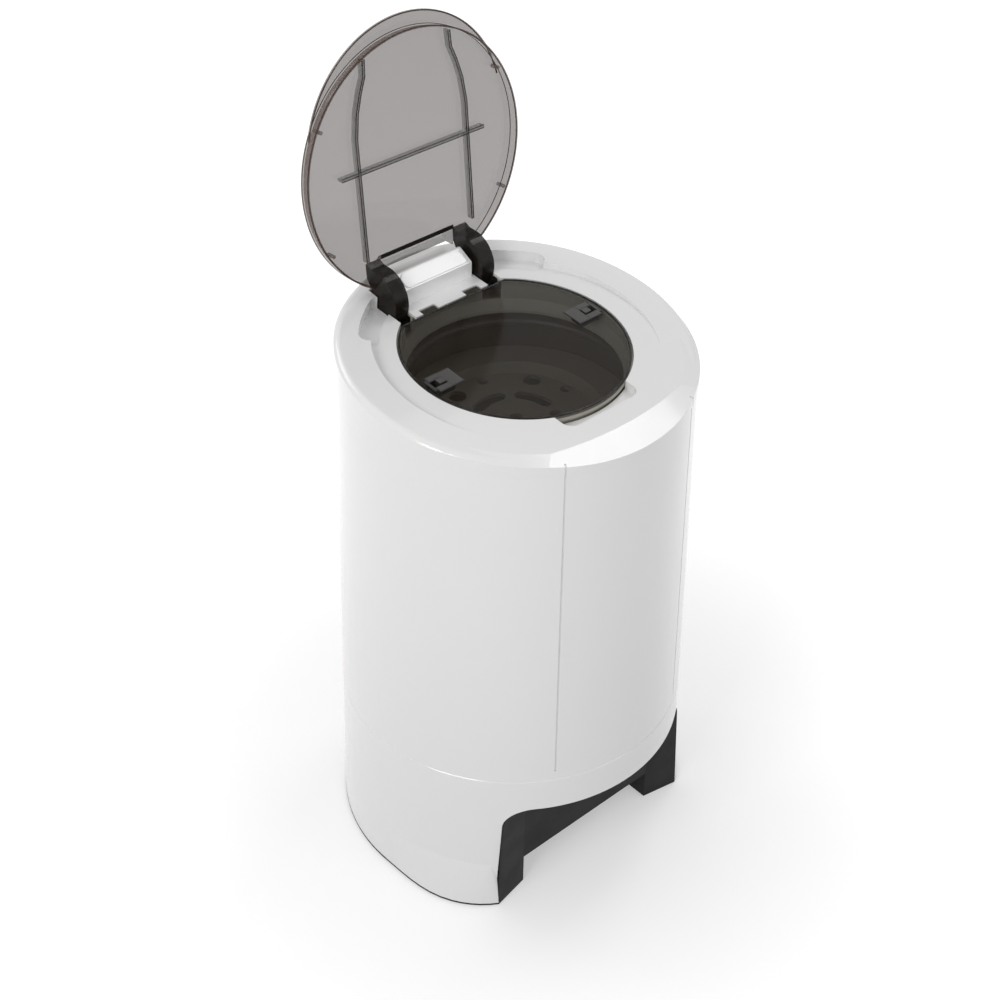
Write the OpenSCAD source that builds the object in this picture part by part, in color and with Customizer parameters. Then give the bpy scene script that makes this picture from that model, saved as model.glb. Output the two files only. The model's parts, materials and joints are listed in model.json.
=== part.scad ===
// Laundry spin dryer, top loading, with the smoked outer lid standing open.
// Millimetres. The origin is the bottom centre, +Z is up, -Y is the front.
// The rear hinge of the lid is at +Y, and +X is the right side seen from the front.

/* [Body] */
// Outside radius at the foot of the body
base_r = 195; // [185:1:205]
// Outside radius of the casing where the top cover sits
shoulder_r = 182.5; // [178:0.5:183]
// Height of the seam between the lower skirt and the casing
seam_h = 188; // [175:1:200]
// Height of the joint between the casing and the top cover
joint_h = 586; // [583:1:589]
// Wall of the moulded skirt and casing
shell_t = 2.5; // [2:0.1:3]
// Thickness of the rubber foot pads under the base
pad_h = 1.5; // [1:0.1:3]
// Height of the dark band of the base that shows below the skirt
base_band_h = 2.5; // [2:0.1:5]

/* [Front of the base] */
// Half width of the front cutout in the skirt at the floor
cutout_half_w = 142; // [138:0.5:144]
// Height of the front cutout in the skirt
cutout_h = 147; // [135:1:155]
// Corner radius of the front cutout
cutout_round = 28; // [20:1:35]
// Half width of the basin tunnel between the front feet
tunnel_half_w = 97; // [90:1:105]
// Height of the basin tunnel
tunnel_h = 40; // [36:1:48]
// Depth of the basin tunnel behind the front wall
tunnel_d = 225; // [180:1:235]
// Distance of the flat front wall from the axis
front_wall_y = 132; // [130:0.5:134]
// How far the ribs of the skirt flare out at the front corners
flare_out = 10.6; // [8:0.1:11]

/* [Top cover] */
// Radius of the cover rim
rim_r = 183.2; // [183:0.1:184]
// Height of the rim plane above the casing joint, over the axis
rim_rise = 31; // [30:0.5:32]
// Fall of the rim plane towards the front, in degrees
rim_tilt = 6.9; // [6.4:0.1:7.2]
// Rounding of the cover's outer edge
rim_round = 8; // [6:0.5:9]
// Depth of the lid seat plane below the rim plane, over the axis
seat_drop = 4; // [3:0.5:5]
// Fall of the seat plane towards the front, in degrees
seat_tilt = 4.3; // [4:0.1:4.6]
// Radius of the seat that the outer lid closes into
seat_r = 146; // [144:0.5:148]
// Radius of the loading mouth
mouth_r = 119; // [118:0.5:120]
// Distance of the mouth centre behind the axis
mouth_y = 3.3; // [2.5:0.1:4]
// Wall of the top cover
cover_t = 3; // [2.6:0.1:3.2]
// Outer radius of the sunk trough beside the hinge
trough_r = 159; // [157:0.5:161]
// Depth of the trough below the seat plane
trough_d = 3; // [2:0.5:4]

/* [Outer lid] */
// Radius of the lid
lid_r = 136; // [134:0.5:137]
// Thickness of the lid panel
lid_t = 3; // [2.5:0.1:3.5]
// Height of the rim wall under the lid panel
lid_wall_h = 9.5; // [8:0.5:9.5]
// Radius of the finger lip at the free end
lip_r = 124.8; // [122:0.1:128]
// How far the finger lip stands past the lid
lip_out = 13.3; // [10:0.1:14]
// Angle of the open lid above the horizontal
lid_open = 95; // [90:0.5:97]
// Distance of the lid centre from the hinge axis
lid_reach = 137.1; // [136.5:0.1:138]
// Height of the lid panel top over the hinge axis
lid_rise = 14.6; // [14.4:0.1:15]
// Distance of the stiffening ribs from the middle
rib_x = 70; // [69:0.5:74]
// Depth of the stiffening ribs under the panel
rib_d = 7; // [5:0.5:8]

/* [Hinge] */
// Distance of the hinge axis behind the body axis
hinge_y = 138.8; // [138.4:0.1:139.2]
// Height of the hinge axis above the seat plane over the body axis
hinge_up = 9.1; // [8.9:0.1:9.3]
// Diameter of the hinge shaft
hinge_shaft_d = 8; // [7:0.1:8.4]
// Half width of the white hinge block
block_half_w = 45; // [40:1:45]
// Width of each hinge arm
arm_w = 17; // [14:0.5:18]
// Radius of the round front of the hinge arms
arm_r = 30; // [29:0.5:30]

/* [Inner lid] */
// Thickness of the smoked inner lid
inner_t = 3; // [2.5:0.1:3]
// Gap around the inner lid in the mouth
inner_gap = 1.5; // [1.2:0.1:2.5]
// Distance of the white ledge behind the axis, in front of the hinge
ledge_y = 99.5; // [97:0.5:100]
// Distance of the lid latches from the mouth centre
latch_x = 98; // [94:0.5:100]
// Outward travel of a latch bolt
latch_travel = 6; // [4:0.5:6]

/* [Drum] */
// Inside radius of the drum
drum_r = 125; // [122:0.5:127]
// Thickness of the drum sheet
drum_t = 1.2; // [1:0.1:2]
// Height of the drum floor above the ground
drum_floor_z = 240; // [236:1:250]
// Depth of the drum rim below the casing joint
drum_sink = 12; // [10:1:16]
// Radius of the drum mouth inside its rim
drum_mouth_r = 113; // [111:0.5:115]
// Holes round one row of the drum wall
drum_holes = 24; // [12:1:30]
// Depth of the pressing disc's rim below the drum rim
disc_sink = 39; // [36:1:54]
// Gap around the pressing disc
disc_gap = 1.5; // [1:0.1:3]

/* [Tub] */
// Inside radius of the outer tub
tub_r = 147; // [144:0.5:148]
// Wall of the tub
tub_t = 3; // [2.5:0.1:3.5]
// Height of the underside of the tub
tub_z = 222; // [218:1:226]
// Inside radius of the drain spout
drain_r = 11; // [9:0.5:12]

/* [Drive] */
// Outside radius of the motor housing
motor_r = 62; // [55:1:66]
// Height of the motor's lower cap above the ground
motor_z = 60; // [56:1:66]
// Length of the motor housing
motor_h = 92; // [80:1:94]
// Diameter of the drive shaft
shaft_d = 15; // [12:0.5:17]
// Outside diameter of the shaft bearings
bearing_d = 35; // [32:0.5:40]
// Radius of the brake drum
brake_r = 36; // [30:1:40]
// Travel of the brake rod over the whole swing of the lid
rod_travel = 5; // [4:0.1:5.5]

/* [Hidden] */
$fn = 96;

// Clearances
fit_gap = 0.3;
run_gap = 0.05;
slide_gap = 0.3;
big = 2 * base_r + 10;

// Colours
shell_white = "#dcd8d3";
base_grey = "#3f3f3f";
smoke = "#5a5853";
steel = "#b9bbbd";
dark_steel = "#55565a";
rubber = "#26262a";

// Heights of the upper pieces
rim_h = joint_h + rim_rise;
seat_h = rim_h - seat_drop;
hinge_z = seat_h + hinge_up;
drum_top_z = joint_h - drum_sink;
disc_z = drum_top_z - disc_sink;
// Body cone
function body_r(z) = base_r - (base_r - shoulder_r) * z / joint_h;
skirt_z = pad_h + base_band_h;
edge_cut = 0.8;
// Flared front corners of the skirt
flare_h = 60;
flare_start = 88;
flare_peak = 60;
flare_end = 45;
flare_end_out = 4;
flare_in = 5;
// Front cutout
cutout_lean = 6.5;
ceiling_gap = 3;
// Base moulding
wall_t = 3;
deck_t = 4;
deck_z = tunnel_h;
deck_top = deck_z + deck_t;
foot_slant = 9;
foot_half_w = 145;
flange_w = 17;
pad_r = 14;
pad_plate = 6;
front_pad_in = 26.7;
front_pad_at = -45;
rear_pad_in = 21.6;
rear_pad_at = 42.4;
plate_from_y = 60;
// Fasteners inside the shell
boss_r = 6;
boss_h = 12;
seam_boss_in = 9;
cover_boss_in = 7.5;
screw_r = 2;
screw_head_r = 4;
screw_head_h = 3;
screw_l = 18;
seam_screw_at = [45, 135, 225, 315];
cover_screw_at = [50, 130, 197, 343];
// Cord gland and capacitor
gland_z = 110;
gland_r = 7;
cap_r = 18;
cap_h = 58;
cap_at = base_r - 75;
clip_t = 1.5;
clip_w = 10;
// Panel grooves
groove_at = 28;
groove_w = 1.8;
groove_d = 1.2;
groove_z = 200;
// Top cover
flange_t = 3;
flange_in = 7;
cap_flare = 10;
scoop_r = 370;
scoop_y = 154;
scoop_slope = 14;
seat_edge_r = 168;
seat_edge_slope = 12;
lid_seat_y = 0.8;
trough_r0 = 138;
trough_from = 41;
trough_to = 61;
notch_half_w = 48;
notch_r = 131;
notch_d = 10;
notch_round = 12;
// Mouth ring
shelf_d = 3.5;
shelf_w = 5;
shelf_t = 3;
neck_r = 110;
neck_z = joint_h;
neck_top_z = neck_z + 12;
neck_t = 3;
neck_flange_r = tub_r + tub_t + 3.5;
// Tub
gasket_t = 4;
tub_top = neck_z - neck_t - gasket_t;
tub_floor_t = 3;
hub_r = 26;
hub_h = 23;
post_r = 7;
post_at = [30, 150, 210, 330];
post_out = 10;
post_rad = tub_r + tub_t + post_out;
lug_r = 11;
lug_t = 8;
spout_y = 110;
spout_t = 2.5;
spout_low = 36;
// Motor mount
plate_t = 4;
plate_r = 95;
plate_gap = 1;
plate_z = motor_z + motor_h + plate_gap;
buffer_r = 12;
buffer_h = 13;
mount_r = 80;
mount_at = [90, 210, 330];
mount_post_r = 9;
can_t = 2.5;
cap_t = 6;
bearing_h = 12;
seat_t = 4.5;
stator_z = motor_z + 22;
stator_h = 50;
stator_r = 34;
air_gap = 0.6;
coil_h = 8;
// Brake, its rod under the right hinge arm, and the lid switch
arm_gap = 4.5;
arm_x = block_half_w + arm_gap;
brake_z = 176;
brake_h = 22;
rod_r = 3;
rod_out = 8.03;
rod_rad = tub_r + tub_t + rod_out;
rod_x = arm_x + arm_w / 2;
rod_y = sqrt(rod_rad * rod_rad - rod_x * rod_x);
rod_angle = atan2(rod_y, rod_x);
rod_dy = rod_y - hinge_y;
rod_h0 = 22;
rod_in = rod_dy - rod_r;
lid_travel = lid_open + seat_tilt;
lever_rad = 60;
lever_z = plate_z + plate_t + 9;
lever_t = 8;
lever_hub_r = 7;
lever_pin_r = 3;
tab_z = joint_h - 46;
tab_t = 4;
plunger_off = 11;
plunger_r = 2.5;
switch_top = tab_z - 10;
switch_h = 30;
switch_w = 12;
plunger_in = 18;
guide_low_z = tub_z + 78;
guide_high_z = joint_h - 34;
guide_h = 8;
guide_w = 14;
guide_out = 7;
// Hinge arms
arm_back = 8.9;
arm_hub_r = 11;
arm_top_y = 42.8;
arm_neck_y = 27;
arm_bend = [[-17.5, 9.5], [-11, 2], [7, -20]];
arm_foot = [0.8, 6.5];
cam_root = 5;
cam_over = 2;
cam_steps = 17;
lid_notch_y = 43;
slot_gap = 1;
slot_front = 97;
slot_back = 153;
// Hinge block and the saddle under it
block_front = 17.8;
block_crease = 17.6;
block_top = 27.1;
block_flat = 2.5;
block_bevel = 7.8;
block_bevel_h = 4.5;
block_back = 9.7;
block_back_h = 9;
block_low = 25;
saddle_front = 11;
saddle_back = 10;
saddle_low = 13;
// Hood between the arms: distance in front of the hinge axis, height above the lid panel
hood_t = 2;
hood_outer = [[-46, 0], [-42, 2.7], [-37.5, 6.8], [-30.5, 10.8], [-24, 13.1]];
hood_inner = [[-24, 10.5], [-29.6, 8.5], [-36, 4.8], [-40.4, 0.8], [-41.5, 0]];
// Stiffening ribs of the lid: the line of one rib, from the hinge side to the free end
rib_t = 2.6;
rib_line = [[0, 88], [0, -42], [-3.5, -68], [-9.5, -88], [-15.5, -103], [-16.5, -120]];
cross_half = 92;
cross_y = 9.5;
cross_t = 3;
bumper_r = 2;
bumper_in = 6;
bumper_drop = 0.3;
bumper_at = [-150, -30, 30, 150];
// Drum
drum_out = drum_r + drum_t;
hub_disc_r = 80;
hub_boss_r = 22;
hub_boss_h = 11;
rim_t = 8;
hole_r = 2.5;
hole_rows = 5;
hole_pitch = 54;
disc_t = 4;
disc_drop = 9;
disc_step_r = 92;
rib_n = 3;
nut_r = 12;
nut_h = 10;
// Latches
bolt_w = 10;
bolt_t = 2.2;
latch_frame_l = 24;
latch_frame_w = 16;
latch_frame_h = 7;
bolt_in = 7.1;
thumb_half = 4;
thumb_h = 2;
lid_sink = 0.4;
tab_from = 20;
tab_to = 38;
tab_out = 8;
inner_r = mouth_r - inner_gap;

module body_cone(z0, z1, inset) {
  translate([0, 0, z0])
    cylinder(h = z1 - z0, r1 = body_r(z0) - inset, r2 = body_r(z1) - inset);
}

module seat_frame() {
  translate([0, 0, seat_h])
    rotate([seat_tilt, 0, 0])
      children();
}

module rim_frame() {
  translate([0, 0, rim_h])
    rotate([rim_tilt, 0, 0])
      children();
}

module lid_frame() {
  translate([0, hinge_y, hinge_z])
    rotate([-lid_open, 0, 0])
      children();
}

module rod_frame() {
  rotate([0, 0, rod_angle])
    children();
}

module sides() {
  children();
  mirror([1, 0, 0]) children();
}

// Ring or tube
module ring(r0, r1, z0, z1) {
  translate([0, 0, z0])
    difference() {
      cylinder(h = z1 - z0, r = r1);
      translate([0, 0, -1]) cylinder(h = z1 - z0 + 2, r = r0);
    }
}

// Prism of the front cutout, smaller all round by c
module cutout(c) {
  top_x = cutout_half_w - cutout_lean;
  corner_z = cutout_h - cutout_round;
  rotate([90, 0, 0])
    linear_extrude(height = big)
      union() {
        polygon([
          [-cutout_half_w + c, -1], [-top_x + c, corner_z],
          [top_x - c, corner_z], [cutout_half_w - c, -1]
        ]);
        translate([-top_x + cutout_round, corner_z - 1])
          square([2 * (top_x - cutout_round), cutout_round + 1 - c]);
        translate([top_x - cutout_round, corner_z]) circle(r = cutout_round - c);
        translate([-top_x + cutout_round, corner_z]) circle(r = cutout_round - c);
      }
}

function polar(r, a) = [r * sin(a), -r * cos(a)];

// Plan of one flared front corner
flare_plan = [
  for (a = [flare_start:-4:flare_peak])
    polar(base_r + flare_out * (1 - cos(180 * (flare_start - a) / (flare_start - flare_peak))) / 2, a),
  for (a = [flare_peak - 3:-3:flare_end])
    let (fall = pow((flare_peak - a) / (flare_peak - flare_end), 2))
      polar(base_r + flare_out - (flare_out - flare_end_out) * fall, a),
  polar(base_r - flare_in, flare_end), polar(base_r - flare_in, flare_start)
];

// Line on the body where a flare runs out
flare_top = [
  for (a = [flare_start:-4:flare_end]) polar(body_r(flare_h) - 0.2, a),
  polar(body_r(flare_h) - flare_in, flare_end), polar(body_r(flare_h) - flare_in, flare_start)
];

module flare() {
  hull() {
    translate([0, 0, skirt_z])
      linear_extrude(height = 0.5) polygon(flare_plan);
    translate([0, 0, flare_h - 0.5])
      linear_extrude(height = 0.5) polygon(flare_top);
  }
}

module seam_boss(z, r) {
  for (a = seam_screw_at)
    rotate([0, 0, a])
      translate([r - seam_boss_in, 0, z])
        children();
}

module base_skirt() {
  color(shell_white)
    difference() {
      union() {
        difference() {
          union() {
            body_cone(skirt_z, seam_h - edge_cut, 0);
            translate([0, 0, seam_h - edge_cut])
              cylinder(h = edge_cut, r1 = body_r(seam_h - edge_cut), r2 = body_r(seam_h) - edge_cut);
            flare();
            mirror([1, 0, 0]) flare();
          }
          body_cone(skirt_z - 1, seam_h + 1, shell_t);
          cutout(0);
        }
        intersection() {
          seam_boss(seam_h - boss_h, body_r(seam_h)) cylinder(h = boss_h, r = boss_r + 2);
          body_cone(seam_h - boss_h, seam_h, shell_t / 2);
        }
      }
      seam_boss(seam_h - boss_h - 1, body_r(seam_h)) cylinder(h = boss_h + 2, r = screw_r + run_gap);
      translate([0, body_r(gland_z) - big / 4, gland_z])
        rotate([-90, 0, 0]) cylinder(h = big / 2, r = gland_r + run_gap);
    }
}

module gland() {
  translate([0, body_r(gland_z), gland_z])
    rotate([-90, 0, 0])
      children();
}

module cord_gland() {
  color(rubber)
    gland()
      difference() {
        union() {
          translate([0, 0, fit_gap + 0.4]) cylinder(h = 3, r = gland_r + 4);
          translate([0, 0, -shell_t - 4]) cylinder(h = shell_t + 6, r = gland_r);
          translate([0, 0, -shell_t - 4.6]) cylinder(h = 3, r = gland_r + 3);
        }
        translate([0, 0, -shell_t - 8]) cylinder(h = shell_t + 20, r = 4);
      }
}

// Plan of the ground behind the front wall line, moved back by d
module behind_wall(d) {
  lean = foot_slant / (foot_half_w - tunnel_half_w);
  far = big / 2;
  polygon([
    [-far, -front_wall_y - lean * (far - tunnel_half_w) + d], [-tunnel_half_w, -front_wall_y + d],
    [tunnel_half_w, -front_wall_y + d], [far, -front_wall_y - lean * (far - tunnel_half_w) + d],
    [far, far], [-far, far]
  ]);
}

module base_plan() {
  circle(r = base_r);
  polygon(flare_plan);
  mirror([1, 0, 0]) polygon(flare_plan);
}

// Room inside the skirt and its cutout
module inside_skirt() {
  body_cone(0, seam_h, shell_t + fit_gap);
  cutout(fit_gap);
}

module base_frame() {
  ceiling_z = cutout_h + ceiling_gap;
  color(base_grey)
    difference() {
      union() {
        // Band under the skirt, with plates over the pads
        translate([0, 0, pad_h])
          linear_extrude(height = base_band_h)
            intersection() {
              base_plan();
              behind_wall(0);
              union() {
                difference() {
                  circle(r = base_r + 2 * flare_out);
                  circle(r = base_r - flange_w);
                }
                sides() translate([tunnel_half_w, -big]) square([big, big - plate_from_y]);
                rear_pads() circle(r = pad_r + pad_plate);
              }
            }
        // Outer wall and deck
        difference() {
          intersection() {
            body_cone(pad_h, deck_top, shell_t + fit_gap);
            translate([0, 0, pad_h]) linear_extrude(height = big) behind_wall(0);
          }
          difference() {
            body_cone(0, deck_z, shell_t + fit_gap + wall_t);
            translate([0, 0, -1]) linear_extrude(height = big) difference() {
              behind_wall(0);
              behind_wall(wall_t);
            }
          }
        }
        // Front wall up to the ceiling of the cutout
        intersection() {
          translate([0, 0, pad_h])
            linear_extrude(height = ceiling_z + wall_t - pad_h)
              difference() {
                behind_wall(0);
                behind_wall(wall_t);
              }
          inside_skirt();
        }
        // Ceiling over the cutout
        difference() {
          body_cone(ceiling_z, ceiling_z + wall_t, shell_t + fit_gap);
          translate([0, 0, ceiling_z - 1]) linear_extrude(height = wall_t + 2) behind_wall(wall_t);
        }
        // Walls of the tunnel
        translate([-tunnel_half_w - wall_t, -front_wall_y, pad_h])
          cube([2 * (tunnel_half_w + wall_t), tunnel_d + wall_t, deck_z - pad_h + 1]);
        // Posts of the motor mount
        for (a = mount_at)
          rotate([0, 0, a])
            translate([mount_r, 0, deck_z]) cylinder(h = plate_z - buffer_h - deck_z, r = mount_post_r);
      }
      // Basin tunnel
      translate([-tunnel_half_w, -big, -1])
        cube([2 * tunnel_half_w, big - front_wall_y + tunnel_d, tunnel_h + 1]);
      // Hole for the drain spout
      translate([0, -spout_y, deck_z - 1]) cylinder(h = deck_t + 2, r = drain_r + spout_t + 1);
    }
}

module front_pads() {
  sides() rotate([0, 0, front_pad_at]) translate([base_r - front_pad_in, 0, 0]) children();
}

module rear_pads() {
  sides() rotate([0, 0, rear_pad_at]) translate([base_r - rear_pad_in, 0, 0]) children();
}

module foot_pads() {
  color(rubber) {
    front_pads() cylinder(h = pad_h, r = pad_r);
    rear_pads() cylinder(h = pad_h, r = pad_r);
  }
}

module groove_prism(z0, z1, r0) {
  sides()
    rotate([0, 0, groove_at])
      translate([-groove_w / 2, -big, z0])
        cube([groove_w, big - r0, z1 - z0]);
}

module casing() {
  color(shell_white)
    difference() {
      union() {
        difference() {
          union() {
            translate([0, 0, seam_h])
              cylinder(h = edge_cut, r1 = body_r(seam_h) - edge_cut, r2 = body_r(seam_h + edge_cut));
            body_cone(seam_h + edge_cut, joint_h, 0);
          }
          body_cone(seam_h - 1, joint_h + 1, shell_t);
          difference() {
            groove_prism(groove_z, joint_h + 1, 0);
            body_cone(groove_z - 1, joint_h + 2, groove_d);
          }
        }
        intersection() {
          seam_boss(seam_h, body_r(seam_h)) cylinder(h = boss_h, r = boss_r + 2);
          body_cone(seam_h, seam_h + boss_h, shell_t / 2);
        }
        intersection() {
          cover_boss(joint_h - boss_h) cylinder(h = boss_h, r = boss_r);
          body_cone(joint_h - boss_h, joint_h, shell_t / 2);
        }
      }
      seam_boss(seam_h - 1, body_r(seam_h)) cylinder(h = boss_h + 2, r = screw_r + run_gap);
      cover_boss(joint_h - boss_h - 1) cylinder(h = boss_h + 2, r = screw_r + run_gap);
    }
}

module cover_boss(z) {
  for (a = cover_screw_at)
    rotate([0, 0, a])
      translate([shoulder_r - cover_boss_in, 0, z])
        children();
}

// Disc under the rim plane, with a rounded edge, smaller by d
module rim_cap(d) {
  r = rim_r + 0.7 - d;
  depth = 80;
  rim_frame()
    translate([0, 0, -d])
      rotate_extrude()
        union() {
          translate([0, -rim_round]) square([r - rim_round, rim_round]);
          translate([r - rim_round, -rim_round]) circle(r = rim_round);
          polygon([
            [0, -depth], [r + depth * tan(cap_flare), -depth], [r, -rim_round], [0, -rim_round]
          ]);
        }
}

// Disc under the seat plane, with a falling edge, smaller by d
module seat_cap(d) {
  depth = 40;
  seat_frame()
    translate([0, 0, -d])
      rotate_extrude()
        polygon([
          [0, -depth], [rim_r + 20, -depth], [rim_r + 20, -(rim_r + 20 - seat_edge_r) * tan(seat_edge_slope)],
          [seat_edge_r, 0], [0, 0]
        ]);
}

// Falling front edge under the lip of the lid
module scoop(d) {
  span = 90;
  seat_frame()
    translate([0, scoop_r - scoop_y, -d])
      rotate([0, 0, -90])
        rotate_extrude($fn = 240)
          polygon([
            [scoop_r, 0], [scoop_r + span, -span * tan(scoop_slope)], [scoop_r + span, 40], [scoop_r, 40]
          ]);
}

// Sunk trough on one side of the hinge, wider by d
module trough(d) {
  mid = (trough_r0 + trough_r) / 2;
  half = (trough_r - trough_r0) / 2;
  seat_frame()
    translate([0, 0, -trough_d - d]) {
      rotate([0, 0, trough_from])
        rotate_extrude(angle = trough_to - trough_from)
          translate([trough_r0 - d, 0]) square([2 * half + 2 * d, 60]);
      for (a = [trough_from, trough_to])
        rotate([0, 0, a]) translate([mid, 0, 0]) cylinder(h = 60, r = half + d);
    }
}

// Finger notch at the front of the mouth, wider by d
module notch(d) {
  x = notch_half_w - notch_round;
  y = notch_r - notch_round;
  seat_frame()
    translate([0, mouth_y, -notch_d - d])
      linear_extrude(height = 60)
        union() {
          sides() translate([x, -y]) circle(r = notch_round + d);
          translate([-x, -notch_r - d]) square([2 * x, notch_round + d + 1]);
          translate([-notch_half_w - d, -y]) square([2 * (notch_half_w + d), y - 80]);
        }
}

// Outer form of the cover, smaller by d
module cover_form(d) {
  difference() {
    intersection() {
      translate([0, 0, joint_h]) cylinder(h = 70, r = rim_r - d);
      union() {
        rim_cap(d);
        seat_cap(d);
      }
    }
    scoop(d);
    seat_frame() translate([0, lid_seat_y, -d]) cylinder(h = 60, r = seat_r + d);
    sides() trough(d);
  }
}

// Slots for the hinge arms, wider by d
module arm_slots(d, z0) {
  sides()
    translate([arm_x - slot_gap - d, slot_front, z0])
      cube([arm_w + 2 * slot_gap + 2 * d, slot_back - slot_front, 60]);
}

module top_cover() {
  color(shell_white)
    difference() {
      union() {
        difference() {
          cover_form(0);
          difference() {
            cover_form(cover_t);
            ring(shoulder_r - flange_in, big, joint_h - 1, joint_h + flange_t);
            notch(cover_t);
          }
          translate([0, 0, joint_h - 1]) cylinder(h = flange_t + 2, r = shoulder_r - flange_in);
        }
        intersection() {
          cover_boss(joint_h) cylinder(h = 30, r = boss_r);
          cover_form(cover_t / 2);
        }
        intersection() {
          difference() {
            notch(cover_t);
            notch(0);
          }
          cover_form(cover_t / 2);
          translate([0, -big / 2, joint_h + flange_t]) cylinder(h = 60, r = big / 2);
        }
        // Saddle under the hinge block
        intersection() {
          translate([-arm_x - arm_w / 2, hinge_y - saddle_front, hinge_z - saddle_low])
            cube([2 * arm_x + arm_w, saddle_front + saddle_back, 60]);
          cover_form(cover_t / 2);
        }
      }
      notch(0);
      // Mouth, with a straight ledge at the back
      seat_frame()
        translate([0, mouth_y, 0])
          difference() {
            translate([0, 0, -30]) cylinder(h = 60, r = mouth_r);
            translate([-arm_x - arm_w / 2, ledge_y - mouth_y, -60])
              cube([2 * arm_x + arm_w, 60, 120]);
          }
      latch_frame() lid_tabs(inner_gap, -cover_t - 2, 20);
      arm_slots(0, joint_h + flange_t);
      translate([-arm_x, hinge_y, hinge_z])
        rotate([0, 90, 0]) cylinder(h = 2 * arm_x, r = hinge_shaft_d / 2 + run_gap);
      cover_boss(joint_h - 1) cylinder(h = boss_h, r = screw_r + run_gap);
      // Ends of the panel grooves
      difference() {
        groove_prism(joint_h - 1, joint_h + 60, rim_r - 4);
        cover_form(groove_d);
      }
    }
}

// Profile of the hinge block, from the front to the back
module hinge_block() {
  color(shell_white)
    difference() {
      translate([-block_half_w, hinge_y, hinge_z])
        rotate([90, 0, 90])
          linear_extrude(height = 2 * block_half_w)
            polygon([
              [-block_front, -block_low], [-block_front, block_crease], [0, block_top],
              [block_flat, block_top], [block_bevel, block_top - block_bevel_h],
              [block_back, block_top - block_back_h], [block_back, -block_low]
            ]);
      cover_form(0);
      translate([-big / 2, hinge_y, hinge_z])
        rotate([0, 90, 0]) cylinder(h = big, r = hinge_shaft_d / 2 + run_gap);
    }
}

module hinge_shaft() {
  half = arm_x + arm_w - 2;
  color(steel)
    translate([-half, hinge_y, hinge_z])
      rotate([0, 90, 0]) cylinder(h = 2 * half, r = hinge_shaft_d / 2);
}

module mouth_ring() {
  wall = neck_t;
  color("#8b8a82")
    difference() {
      union() {
        // Flange on the tub gasket
        translate([0, 0, neck_z - neck_t]) cylinder(h = neck_t, r = neck_flange_r);
        // Neck, cut along the underside of the cover
        intersection() {
          translate([0, mouth_y, neck_z - 1])
            union() {
              cylinder(h = neck_top_z - neck_z + 1, r1 = neck_r + wall, r2 = mouth_r - shelf_w + wall);
              translate([0, 0, neck_top_z - neck_z + 1]) cylinder(h = 40, r = mouth_r - shelf_w + wall);
            }
          seat_frame() translate([0, 0, -shelf_d - 60]) cylinder(h = 60, r = big / 2);
        }
        // Shelf for the inner lid
        seat_frame()
          translate([0, mouth_y, -shelf_d - shelf_t])
            cylinder(h = shelf_t, r = mouth_r + shelf_w);
      }
      translate([0, mouth_y, neck_z - neck_t - 1]) cylinder(h = neck_t + 1.01, r = neck_r);
      translate([0, mouth_y, neck_z])
        cylinder(h = neck_top_z - neck_z, r1 = neck_r, r2 = mouth_r - shelf_w);
      translate([0, mouth_y, neck_top_z - 0.01]) cylinder(h = 60, r = mouth_r - shelf_w);
      difference() {
        notch(cover_t + fit_gap);
        translate([0, mouth_y, 0]) cylinder(h = big * 2, r = mouth_r - 1.2);
      }
      arm_slots(1, neck_top_z);
      // Windows for the latch bolts
      latch_frame()
        translate([-big / 2, -bolt_w / 2 - 1, -bolt_in - bolt_t - 1])
          cube([big, bolt_w + 2, bolt_t + 2]);
    }
}

module outer_tub() {
  color("#77776f")
    difference() {
      union() {
        translate([0, 0, tub_z]) cylinder(h = tub_floor_t, r = tub_r + tub_t);
        ring(tub_r, tub_r + tub_t, tub_z, tub_top);
        ring(tub_r, neck_flange_r, tub_top - tub_t, tub_top);
        translate([0, 0, tub_z - hub_h]) cylinder(h = hub_h + tub_floor_t, r = hub_r);
        for (a = post_at)
          rotate([0, 0, a]) {
            translate([tub_r + 1, -lug_r, tub_z]) cube([post_rad - tub_r - 1, 2 * lug_r, lug_t]);
            translate([post_rad, 0, tub_z]) cylinder(h = lug_t, r = lug_r);
          }
      }
      translate([0, 0, tub_z + tub_floor_t]) cylinder(h = lug_t + 1, r = tub_r);
      // Seat of the bearing and of the seal
      translate([0, 0, tub_z - hub_h - 1]) cylinder(h = bearing_h + 1, r = bearing_d / 2);
      translate([0, 0, tub_z - hub_h]) cylinder(h = hub_h + tub_floor_t + 1, r = shaft_d / 2 + 4);
      translate([0, 0, tub_z - 4]) cylinder(h = tub_floor_t + 5, r = bearing_d / 2);
      translate([0, -spout_y, tub_z - 1]) cylinder(h = tub_floor_t + 2, r = drain_r);
      for (a = post_at)
        rotate([0, 0, a])
          translate([post_rad, 0, tub_z - 1]) cylinder(h = lug_t + 2, r = screw_r + run_gap);
    }
}

module tub_gasket() {
  color(rubber) ring(tub_r - 1, neck_flange_r, tub_top, neck_z - neck_t);
}

module tub_posts() {
  color(base_grey)
    for (a = post_at)
      rotate([0, 0, a])
        translate([post_rad, 0, deck_top])
          difference() {
            cylinder(h = tub_z - deck_top, r = post_r);
            translate([0, 0, tub_z - deck_top - screw_l]) cylinder(h = screw_l + 1, r = screw_r + run_gap);
          }
}

module drain_spout() {
  color(base_grey)
    translate([0, -spout_y, 0]) {
      ring(drain_r, drain_r + spout_t, spout_low, tub_z);
      ring(drain_r + spout_t, drain_r + spout_t + 4, tub_z - 3, tub_z);
    }
}

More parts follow.
